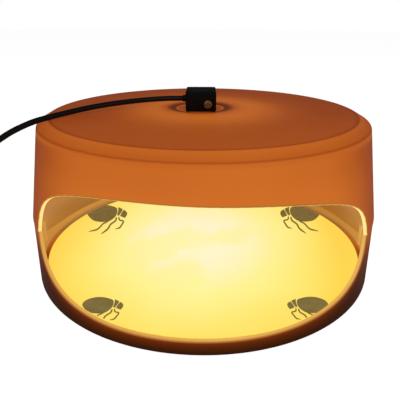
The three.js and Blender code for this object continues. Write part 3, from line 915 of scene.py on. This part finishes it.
def amber_cover():
    """The cover: a drum wall cut by the mouth's upper half, a sloping shoulder, a top that rises
    gently to a shallow well round the block, and a skirt that stands inside the tray."""
    support = EDGE_ROUND + 0.6 * MM
    columns = wall_columns(True, 221, 150, support, EDGE_ROUND)
    edge = edge_rows(columns, drum_radius_at, WALL, support)
    wall_top = SHOULDER_Z - 2 * MM
    outer = wall_rows(columns, support, wall_top, drum_radius_at, 16)
    dome_radius = 92
    dome = [(r * MM, TOP_Z + (HUB_Z - TOP_Z) * (1 - (r / dome_radius) ** 1.5) - 0.02 * MM)
            for r in (91.5, 90, 86, 80, 72, 64, 56, 48, 41, 35, 30, 26, 24)]
    top = level_rows(columns, support, filleted([
        (drum_radius_at(wall_top), wall_top),
        (SHOULDER_RADIUS, SHOULDER_Z, 1.1 * MM),
        (TOP_RADIUS, TOP_Z, 1.1 * MM),
        *dome,
        (22 * MM, HUB_Z - 0.25 * MM, 0.8 * MM),
        (19 * MM, HUB_Z - 0.5 * MM), (17 * MM, HUB_Z - 0.75 * MM),
        (WELL_RADIUS + 0.9 * MM, WELL_Z + 0.08 * MM, 0.8 * MM),
        (WELL_RADIUS + 0.3 * MM, WELL_Z + 0.16 * MM, 0.25 * MM),
        (WELL_RADIUS - 0.2 * MM, WELL_Z, 0.25 * MM),
        (WELL_RADIUS - 0.9 * MM, WELL_Z), (9 * MM, WELL_Z),
        (HOLE_RADIUS, WELL_Z, 0.3 * MM),
        (HOLE_RADIUS, WELL_Z - WALL, 0.3 * MM),
        (20 * MM, WELL_Z - WALL, 1 * MM),
        (24 * MM, WELL_Z - WALL, 1 * MM),
        (TOP_RADIUS - 1 * MM, TOP_Z - WALL, 1.5 * MM),
        (SHOULDER_RADIUS - WALL - 0.3 * MM, SHOULDER_Z - 1.2 * MM, 1.5 * MM),
        (drum_radius_at(wall_top) - WALL, wall_top - 0.8 * MM),
    ])[1:])
    inner = wall_rows(columns, support, wall_top - 0.8 * MM, lambda z: drum_radius_at(z) - WALL, 14)
    inner = [rows[::-1][1:] for rows in inner]
    phi, radius, z = [np.concatenate(rows) for rows in zip(edge, outer, top, inner)]
    points = shifted_well(to_points(phi, radius, z))
    shell = new_piece("amber_cover", points, grid_faces(*phi.shape, True, True), AMBER)
    cover = joined("amber_cover", [shell, skirt()])
    paint_lamplight(cover, cover_light)
    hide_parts("cover")
    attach(cover, "cover")
    return cover


def skirt():
    """A thin wall that hangs inside the tray's. Its lower edge climbs towards its front ends as
    a bell curve, and the ends follow the mouth's outline: the last columns are drawn forward to
    it, just past it below and short of it where the skirt joins the drum."""
    climb_height, climb_angle = 22 * MM, radians(25)
    joint = 105.9 * MM
    u = np.linspace(0, 1, 241)
    from_front = 1 - np.abs(2 * u - 1)
    side = np.where(u < 0.5, 1, -1)
    angle = MOUTH_TURN + MOUTH_HALF_ANGLE + (tau - 2 * MOUTH_HALF_ANGLE) * u
    past_end = from_front * (pi - MOUTH_HALF_ANGLE)
    low = SKIRT_BOTTOM_Z + climb_height * bell(past_end, 0, climb_angle)
    soften = 0.2 * MM
    section = np.array([
        [SKIRT_OUTSIDE, 0.02], [SKIRT_OUTSIDE - soften, 0.0],
        [SKIRT_INSIDE + soften, 0.0], [SKIRT_INSIDE, 0.02],
        [SKIRT_INSIDE, 0.25], [SKIRT_INSIDE, 0.5], [SKIRT_INSIDE, 0.75], [SKIRT_INSIDE + 0.1 * MM, 0.9],
        [joint, 1.0], [joint, 0.9],
        [SKIRT_OUTSIDE, 0.82], [SKIRT_OUTSIDE, 0.5], [SKIRT_OUTSIDE, 0.25],
    ])
    z = low + section[:, 1:] * (SKIRT_TOP_Z - low)
    rise = np.clip((z - SEAM_Z) / (MOUTH_TOP_Z - SEAM_Z), 0, 1)
    drop = np.clip((SEAM_Z - z) / (SEAM_Z - MOUTH_LIP_Z), 0, 1)
    front = np.where(z > SEAM_Z, (1 - rise ** MOUTH_POWER) ** (1 / MOUTH_POWER),
                     (1 - drop ** LIP_POWER) ** (1 / LIP_POWER)) * MOUTH_HALF_ANGLE
    nearly_end = (1 - from_front) ** 14
    short_of_it = np.where(section[:, :1] == joint, 0.03, -0.006)
    phi = angle - side * nearly_end * (MOUTH_HALF_ANGLE - front - short_of_it)
    radius = np.broadcast_to(section[:, :1], z.shape)
    points = to_points(phi, radius, z)
    rows, columns = z.shape
    faces = grid_faces(rows, columns, wrap_rows=True)
    faces.append([r * columns for r in range(rows)])
    faces.append([r * columns + columns - 1 for r in range(rows)][::-1])
    return new_piece("skirt", points, faces, AMBER)


def tray_light(p):
    """Painted lamplight on the tray: fading down the outside to painted dark at the bottom, bright
    on the wall inside, brightest on the inner side of the cut edge, and with painted shade in the
    ring round the disc, most beside the ends of the mouth."""
    x, y, z = p.T
    r = np.hypot(x, y)
    depth = TRAY_RADIUS - r
    near = from_mouth(p, False)
    outside = 0.05 + 0.41 * smooth_step((z - 8 * MM) / (38 * MM))
    outside = np.maximum(outside, 0.34 * np.exp(-np.maximum(near - 1 * MM, 0) / (4 * MM)))
    # painted shade: the outside goes dark towards the bottom
    outside *= smooth_step((z - 1 * MM) / (6 * MM))
    phi = np.abs(np.arctan2(x, -y))
    # painted shade in the ring round the disc
    behind = smooth_step((phi - radians(48)) / radians(18))
    shade = 0.16 + 0.46 * bell(phi, radians(62), radians(22))
    shade = shade * behind * smooth_step((10.4 * MM - z) / (1.8 * MM))
    inside = INNER_TRAY_SHOWS + 0.08 * (1 - behind) - shade
    share = smooth_step((depth - 0.2 * MM) / (0.6 * MM)) * (z > TRAY_BOTTOM_Z + 2 * MM)
    value = outside + (inside - outside) * share
    edge = smooth_step(1.9 - near / (0.7 * MM)) * (depth < TRAY_WALL + 0.3 * MM)
    bright = 0.58 + 0.28 * smooth_step((depth + 0.1 * MM) / (0.7 * MM))
    return value + edge * (bright - value)


def amber_tray():
    """The tray: a round floor with a rounded lower edge, and a wall that rises to the seam
    behind and sinks to a low lip under the mouth."""
    lip_round = 1.1 * MM
    support = 0.4 * MM + lip_round
    columns = wall_columns(False, 241, 150, EDGE_ROUND + 0.6 * MM, lip_round)
    outside_at = lambda z: TRAY_RADIUS + 0 * z
    edge = edge_rows(columns, outside_at, TRAY_WALL, support)
    corner = 3 * MM
    low_wall = TRAY_BOTTOM_Z + corner
    outer = wall_rows(columns, support, low_wall, outside_at, 14)
    quarter = np.linspace(0, -pi / 2, 9)
    rounding = np.stack([TRAY_RADIUS - corner + corner * np.cos(quarter),
                         low_wall + corner * np.sin(quarter)], -1)[1:]
    floor_z = TRAY_BOTTOM_Z + 5.9 * MM
    underside = TRAY_BOTTOM_Z + 3.4 * MM
    inside = TRAY_RADIUS - TRAY_WALL
    floor_start = floor_z + 1.2 * MM
    under = filleted([
        (101 * MM, TRAY_BOTTOM_Z), (97.8 * MM, TRAY_BOTTOM_Z, 0.5 * MM),
        (96.8 * MM, underside, 0.8 * MM), (60 * MM, underside), (0, underside),
    ])
    over = np.array([[0, floor_z], [40 * MM, floor_z], [80 * MM, floor_z], [98 * MM, floor_z]])
    fillet = filleted([(100 * MM, floor_z), (inside, floor_z, 1.1 * MM), (inside, floor_start)])
    base = level_rows(columns, support, np.concatenate([rounding, under, over, fillet]))
    inner = wall_rows(columns, support, floor_start, lambda z: inside + 0 * z, 12)
    inner = [rows[::-1][1:] for rows in inner]
    phi, radius, z = [np.concatenate(rows) for rows in zip(edge, outer, base, inner)]
    points = to_points(phi, radius, z)
    # the tray's darker amber is partly painted shade
    tray = new_piece("amber_tray", points, grid_faces(*phi.shape, True, True), THICK_SHADED_AMBER)
    paint_lamplight(tray, tray_light)
    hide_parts("base_tray")
    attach(tray, "base")
    return tray


def feet():
    """Four rubber feet with a dished underside."""
    for k in range(1, 5):
        low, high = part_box(f"rubber_foot_{k}")
        centre = ((low.x + high.x) / 2, (low.y + high.y) / 2, 0)
        r = (high.x - low.x) / 2
        profile = filleted([
            (0, low.z + 0.3 * MM), (r - 1.6 * MM, low.z + 0.3 * MM, 0.2 * MM),
            (r - 1.3 * MM, low.z, 0.15 * MM), (r, low.z, 0.3 * MM), (r - 0.1 * MM, high.z, 0.2 * MM),
            (0, high.z),
        ], steps=3)
        foot = turned(f"foot_{k}", profile, RUBBER, 40, centre)
        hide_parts(f"rubber_foot_{k}")
        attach(foot, "base")


amber_cover()
amber_tray()
feet()


# ------------------------------------------------------------------ sticky disc and its marks

def sticky_disc():
    """The card, with softly rounded edges, and the film of glue on it, a shallow lens."""
    low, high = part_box("disc_card")
    edge = 0.25 * MM
    card = turned("yellow_card", filleted([
        (0, low.z), (high.x, low.z, edge), (high.x, high.z, edge), (0, high.z),
    ], steps=3), CARD, 160)
    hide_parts("disc_card")
    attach(card, "sticky_disc")

    low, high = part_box("glue_film")
    r = np.concatenate([np.linspace(0, 0.985, 48), [0.992, 0.997, 1.0]]) * high.x
    top = high.z - (high.z - low.z) * np.array([0.0] * 48 + [0.12, 0.35, 0.75])
    profile = np.vstack([np.stack([r[::-1], top[::-1]], -1)[::-1], [[high.x, low.z], [0, low.z]]])
    film = turned("glue", profile[::-1], GLUE, 200)
    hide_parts("glue_film")
    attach(film, "sticky_disc")


def flat_plate(outline, z, thickness):
    """A closed plate between an outline and the same outline raised."""
    n = len(outline)
    low = np.column_stack([outline, np.full(n, z)])
    high = np.column_stack([outline, np.full(n, z + thickness)])
    around = [[k, (k + 1) % n, n + (k + 1) % n, n + k] for k in range(n)]
    return np.concatenate([low, high]), [list(range(n))[::-1], list(range(n, 2 * n)), *around]


def stroke(points, width):
    """The outline of a line with pointed ends: the line moved half a width to each side."""
    line = through(np.array(points, float), 0.02)
    slope = np.gradient(line, axis=0)
    slope /= np.linalg.norm(slope, axis=1, keepdims=True)
    side = np.stack([-slope[:, 1], slope[:, 0]], -1)
    s = np.linspace(0, 1, len(line))
    half = width / 2 * np.minimum(1, 3 * np.minimum(s + 0.25, 1.12 - s))[:, None]
    return np.concatenate([line + side * half, (line - side * half)[::-1]])


def flea_shapes():
    """A flea seen from the side, one abdomen long, with its tail at the origin: an egg-shaped
    abdomen, a narrow thorax, a head, and three bent legs."""
    belly = np.array([
        (0, 0), (0.06, 0.11), (0.2, 0.2), (0.4, 0.255), (0.6, 0.26), (0.8, 0.22), (0.955, 0.155),
        (0.99, 0.08), (0.985, -0.03), (0.945, -0.13), (0.87, -0.22), (0.76, -0.30), (0.6, -0.335),
        (0.42, -0.33), (0.25, -0.29), (0.1, -0.17), (0.02, -0.07)])
    abdomen = through(np.vstack([belly, belly[:1]]), 0.03)[:-1]
    thorax = filleted([(1.02, 0.06), (1.015, 0.18, 0.02), (1.17, 0.105, 0.02), (1.12, -0.01, 0.03),
                       (1.03, -0.145, 0.01), (0.985, -0.10, 0.01), (1.02, 0.06)])[:-1]
    head = filleted([(1.14, 0.0), (1.20, 0.085, 0.02), (1.31, 0.0, 0.06), (1.30, -0.10, 0.04),
                     (1.23, -0.205, 0.02), (1.075, -0.135, 0.01), (1.14, 0.0)])[:-1]
    legs = [
        stroke([(0.74, -0.27), (0.66, -0.34), (0.55, -0.40), (0.45, -0.52), (0.36, -0.58),
                (0.15, -0.63)], 0.045),
        stroke([(0.965, -0.18), (0.93, -0.30), (0.79, -0.41), (0.70, -0.56), (0.52, -0.70)], 0.05),
        stroke([(1.04, -0.17), (1.06, -0.27), (1.18, -0.31), (1.12, -0.43), (1.05, -0.52),
                (0.93, -0.55)], 0.045),
    ]
    return [abdomen, thorax, head, *legs]


def flea_mark(name, tail, size, lean, mirror):
    """One printed flea: the shapes stretched to a size, leaned over, turned to face the middle
    of the disc, and kept on the film by drawing in what would pass its rim."""
    film_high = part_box("glue_film")[1]
    rim = film_high.x - 0.6 * MM
    z = film_high.z + 0.02 * MM
    ink_thickness = 0.06 * MM
    points, faces = [], []
    for shape in flea_shapes():
        leaned = shape - shape[:, 1:] * [lean, 0]
        flat = np.array(tail) + leaned * np.array(size) * [mirror, 1]
        r = np.linalg.norm(flat, axis=1, keepdims=True)
        flat = flat * np.minimum(1, rim / r)
        plate_points, plate_faces = flat_plate(flat, z, ink_thickness)
        first = sum(len(p) for p in points)
        points.append(plate_points)
        faces += [[i + first for i in face] for face in plate_faces]
    mesh = bpy.data.meshes.new(name)
    mesh.from_pydata(np.concatenate(points).tolist(), [], faces)
    work = bmesh.new()
    work.from_mesh(mesh)
    bmesh.ops.triangulate(work, faces=[f for f in work.faces if len(f.verts) > 4])
    bmesh.ops.recalc_face_normals(work, faces=work.faces)
    work.to_mesh(mesh)
    work.free()
    mesh.materials.append(INK)
    mark = bpy.data.objects.new(name, mesh)
    bpy.context.scene.collection.objects.link(mark)
    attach(mark, "sticky_disc")


sticky_disc()
for place, tail, size, lean, mirror in (
        ("back_left", (-92.6 * MM, 49 * MM), (24.5 * MM, 56 * MM), 0.40, 1),
        ("back_right", (93.2 * MM, 51 * MM), (24.5 * MM, 56 * MM), 0.40, -1),
        ("front_left", (-65.2 * MM, -75 * MM), (17 * MM, 25 * MM), 0.18, 1),
        ("front_right", (67.6 * MM, -74 * MM), (17 * MM, 25 * MM), 0.18, -1)):
    flea_mark(f"flea_mark_{place}", tail, size, lean, mirror)


# ------------------------------------------------------------------ lampholder block and screw

def block():
    """The black block on the top, with softened edges."""
    low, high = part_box("lampholder_block")
    piece = rounded_box("holder_block", low, high, 1.1 * MM, BLOCK_BLACK, steps=6)
    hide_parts("lampholder_block")
    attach(piece, "cover")


def cross_screw():
    """A pan-head screw. The head is a polar surface: a low dome less a cross, whose arms narrow
    to the centre and whose sides slope, plus a plain cylinder for the shank."""
    low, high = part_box("block_screw")
    centre = ((low.x + high.x) / 2, 0, (low.z + high.z) / 2 + 0.8 * MM)
    radius = (high.x - low.x) / 2
    face_y, back_y = low.y, -11.3 * MM
    rings = np.concatenate([np.linspace(0, 0.86, 26), [0.91, 0.95, 0.98, 1.0]])[:, None]
    turn = np.linspace(0, tau, 96, endpoint=False)[None]
    x, z = radius * rings * np.cos(turn), radius * rings * np.sin(turn)
    across = np.minimum(np.abs(x), np.abs(z))
    length = np.maximum(np.abs(x), np.abs(z))
    arm = smooth_step((0.46 * MM - across) / (0.16 * MM)) * smooth_step((1.75 * MM - length) / (0.5 * MM))
    dome = 0.45 * MM * rings ** 2 + 0.5 * MM * smooth_step((rings - 0.86) / 0.14)
    depth = dome + 0.75 * MM * arm * (1 - 0.35 * length / radius)
    y = face_y + depth
    head = np.stack([x, y, z], -1)
    sides = [(radius, back_y), (1.4 * MM, back_y), (1.4 * MM, high.y), (0, high.y)]
    rest = np.stack([np.stack([r * np.cos(turn[0]), np.full(96, at), r * np.sin(turn[0])], -1)
                     for r, at in sides])
    points = np.concatenate([head, rest]) + np.array(centre)
    screw = new_piece("cross_head_screw", points, grid_faces(len(points), 96, False, True), OLD_BRASS)
    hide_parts("block_screw")
    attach(screw, "cover")


def gland():
    """The short collar where the cord enters the block, which narrows towards the cord."""
    low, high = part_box("cord_gland")
    r = (high.y - low.y) / 2
    centre = (0, 0, (low.z + high.z) / 2)
    profile = filleted([(0, -high.x), (r, -high.x), (1.85 * MM, -low.x, 0.4 * MM), (0, -low.x)])
    piece = turned("gland", profile, BLOCK_BLACK, 40, centre, axis="-x")
    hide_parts("cord_gland")
    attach(piece, "cover")


block()
cross_screw()
gland()


# ------------------------------------------------------------------ lampholder and lamp

def thread_profile(radius, low, high, pitch, depth, count):
    """A wavy profile: the radius less a cosine dip for each turn of the thread."""
    z = np.linspace(low, high, count)
    return np.stack([radius - depth * (0.5 - 0.5 * np.cos((z - low) / pitch * tau)), z], -1)


def holder_pieces():
    """Everything under the top that holds the lamp; the round pieces are turned about the drum's axis."""
    made = []
    bore, outside = 3.4 * MM, 5 * MM
    low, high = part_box("stem")
    thread = thread_profile(outside, low.z, high.z, 1.0 * MM, 0.35 * MM, 161)
    profile = np.vstack([[bore, low.z], thread, [bore, high.z]])
    made.append((turned("threaded_stem", profile, ZINC, 48, closed=True), "stem", "zinc"))

    low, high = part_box("stem_washer")
    edge = 0.2 * MM
    profile = filleted([(HOLE_RADIUS, low.z), (high.x, low.z, edge), (high.x, high.z, edge),
                        (HOLE_RADIUS, high.z), (HOLE_RADIUS, low.z + 0.01 * MM)], steps=3)[:-1]
    made.append((turned("washer", profile, ZINC, 64, closed=True), "stem_washer", "zinc"))

    made.append((hex_nut(), "stem_nut", "brass"))

    low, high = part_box("lampholder_body")
    profile = filleted([
        (HOLE_RADIUS, high.z - 4 * MM), (10 * MM, high.z - 4 * MM, 0.8 * MM), (10 * MM, low.z, 0.3 * MM),
        (12 * MM, low.z, 0.5 * MM), (12 * MM, low.z + 4 * MM, 0.3 * MM),
        (11.5 * MM, low.z + 4.6 * MM, 0.3 * MM), (11.5 * MM, high.z - 3.6 * MM, 1.2 * MM),
        (9.3 * MM, high.z, 0.6 * MM), (HOLE_RADIUS, high.z), (HOLE_RADIUS, high.z - 3.9 * MM),
    ], steps=4)[:-1]
    made.append((turned("lampholder", profile, PHENOLIC, 72, closed=True), "lampholder_body", "phenolic"))

    low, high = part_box("holder_insulator")
    profile = filleted([(0, low.z), (high.x, low.z, edge), (high.x, high.z, edge), (0, high.z)])
    made.append((turned("insulator_disc", profile, FIBRE, 56), "holder_insulator", "fibre"))

    low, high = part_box("screw_shell")
    outer = thread_profile(high.x, low.z, high.z, 2.1 * MM, 0.5 * MM, 121)
    inner = outer[::-1] - [0.4 * MM, 0]
    made.append((turned("brass_shell", np.vstack([outer, inner]), BRASS, 64, closed=True),
                 "screw_shell", "brass"))

    low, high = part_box("centre_contact")
    contact = rounded_box("contact_leaf", low, high, 0.2 * MM, BRASS, steps=3)
    made.append((contact, "centre_contact", "brass"))
    for piece, node, slot in made:
        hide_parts(node)
        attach(piece, "cover")


def hex_nut():
    """A six-sided nut: the radius follows the flats of a hexagon, is turned down towards both
    ends as a chamfer, and has a round hole."""
    low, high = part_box("stem_nut")
    turn = np.linspace(0, tau, 72, endpoint=False) + tau / 144
    apothem = 8.6 * MM * cos(pi / 6)
    hexagon = apothem / np.cos((turn % (pi / 3)) - pi / 6)
    chamfer = 0.7 * MM
    levels = [low.z, low.z + chamfer, high.z - chamfer, high.z]
    limits = [apothem * 0.98, 8.7 * MM, 8.7 * MM, apothem * 0.98]
    rings = [np.minimum(hexagon, limit) for limit in limits]
    radius = np.stack([np.full(72, HOLE_RADIUS), *rings, np.full(72, HOLE_RADIUS)])
    z = np.array([low.z, *levels, high.z])[:, None] * np.ones(72)
    points = np.stack([radius * np.cos(turn), radius * np.sin(turn), z], -1)
    return new_piece("hex_nut", points, grid_faces(6, 72, True, True), BRASS, smooth_below=20)


def lamp_pieces():
    """The lamp: a threaded cap with its insulator and tip, a candle-shaped glass, and a wire."""
    made = []
    low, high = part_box("bulb_cap")
    thread = thread_profile(high.x, low.z + 1.6 * MM, high.z - 1.6 * MM, 2.1 * MM, 0.55 * MM, 90)
    profile = np.vstack([[0, low.z], [high.x - 0.3 * MM, low.z], [high.x, low.z + 0.4 * MM], thread,
                         [high.x - 1.2 * MM, high.z - 0.5 * MM], [high.x - 1.8 * MM, high.z], [0, high.z]])
    made.append((turned("threaded_cap", profile, NICKEL, 64), "bulb_cap", "nickel"))

    low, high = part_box("cap_insulator")
    profile = filleted([(0, low.z), (4.2 * MM, low.z, 0.15 * MM), (2.6 * MM, high.z, 0.2 * MM),
                        (0, high.z)])
    made.append((turned("black_glass_collar", profile, PHENOLIC, 48), "cap_insulator", "phenolic"))

    low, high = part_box("cap_tip")
    profile = filleted([(0, low.z), (high.x, low.z), (high.x, high.z, 0.25 * MM), (0, high.z)])
    made.append((turned("solder_tip", profile, NICKEL, 40), "cap_tip", "nickel"))

    made.append((candle_glass(), "bulb_glass", "bulb_glass"))
    made.append((filament(), "filament", "tungsten"))
    for piece, node, slot in made:
        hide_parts(node)
        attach(piece, "bulb")


def candle_glass():
    """Glass with a round lower end; above the belly its radius narrows to the neck along a
    half wave. The inner face is the same outline, 0.8 mm in."""
    low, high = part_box("bulb_glass")
    belly, neck = high.x, 5.4 * MM
    belly_z = low.z + belly

    def outline(inset):
        a = np.linspace(-pi / 2, 0, 20)
        t = np.linspace(0, 1, 20)[1:]
        narrowing = (1 - np.cos(pi * t)) / 2
        end = np.stack([(belly - inset) * np.cos(a), belly_z + (belly - inset) * np.sin(a)], -1)
        end[0, 0] = 0
        rise = np.stack([belly + (neck - belly) * narrowing - inset, belly_z + (high.z - belly_z) * t], -1)
        return np.concatenate([end, rise])

    return turned("candle_glass", np.concatenate([outline(0), outline(0.8 * MM)[::-1]]), GLASS, 64)


def filament():
    """Two straight legs and, between them, a fine helix carried along a shallow loop."""
    low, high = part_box("filament")
    reach = high.x - 0.4 * MM
    loop_z = low.z + 0.8 * MM
    leg = np.array([[-1.4 * MM, 0, high.z], [-1.6 * MM, 0, high.z - 6 * MM],
                    [-reach, 0, loop_z + 4 * MM]])
    t = np.linspace(0, 1, 500)
    sag = np.stack([reach * (2 * t - 1), 0 * t, loop_z + 4 * MM * (2 * t - 1) ** 2], -1)
    turn = 34 * tau * t
    helix = sag + 0.30 * MM * np.stack([0 * t, np.cos(turn), np.sin(turn)], -1)
    left = through(leg, 1 * MM)
    right = left * [-1, 1, 1]
    parts = [tube("wire", left, 0.18 * MM, 8, HOT_WIRE), tube("wire", right, 0.18 * MM, 8, HOT_WIRE),
             tube("wire", helix, 0.09 * MM, 6, HOT_WIRE)]
    return joined("glowing_wire", parts)


holder_pieces()
lamp_pieces()
